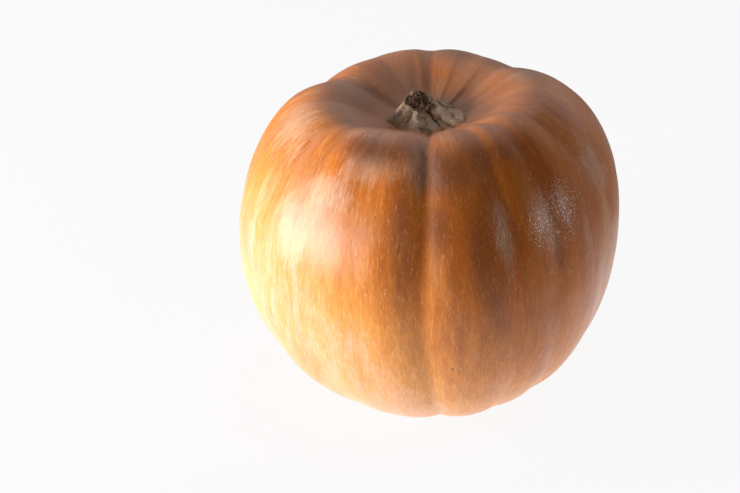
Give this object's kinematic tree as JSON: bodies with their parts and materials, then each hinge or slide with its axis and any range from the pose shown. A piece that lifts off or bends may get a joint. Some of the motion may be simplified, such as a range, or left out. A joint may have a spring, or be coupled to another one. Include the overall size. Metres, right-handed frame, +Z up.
{
  "type": "pumpkin",
  "caption": "Ribbed, slightly flattened orange-tan pumpkin with the short dry stub of its stem in the hollow on top, resting on its base.",
  "frame": {"origin": "on the surface that the pumpkin rests on, under the middle of its box", "axes": "+Z up, from the resting side towards the stem; -Y is the front, where one groove runs straight down from the stem; +X to the right"},
  "size_m": [0.2306, 0.2354, 0.2046],
  "materials": {
    "skin": "tough waxy rind with a satin gloss, orange with tan and yellow streaks and a pale bloom",
    "stem": "dry corky stem, matt, pale grey-green and cream with brown mottling and a dark broken top"
  },
  "bodies": {
    "root": {"fruit": "skin", "stem": "stem"}
  },
  "joints": []
}
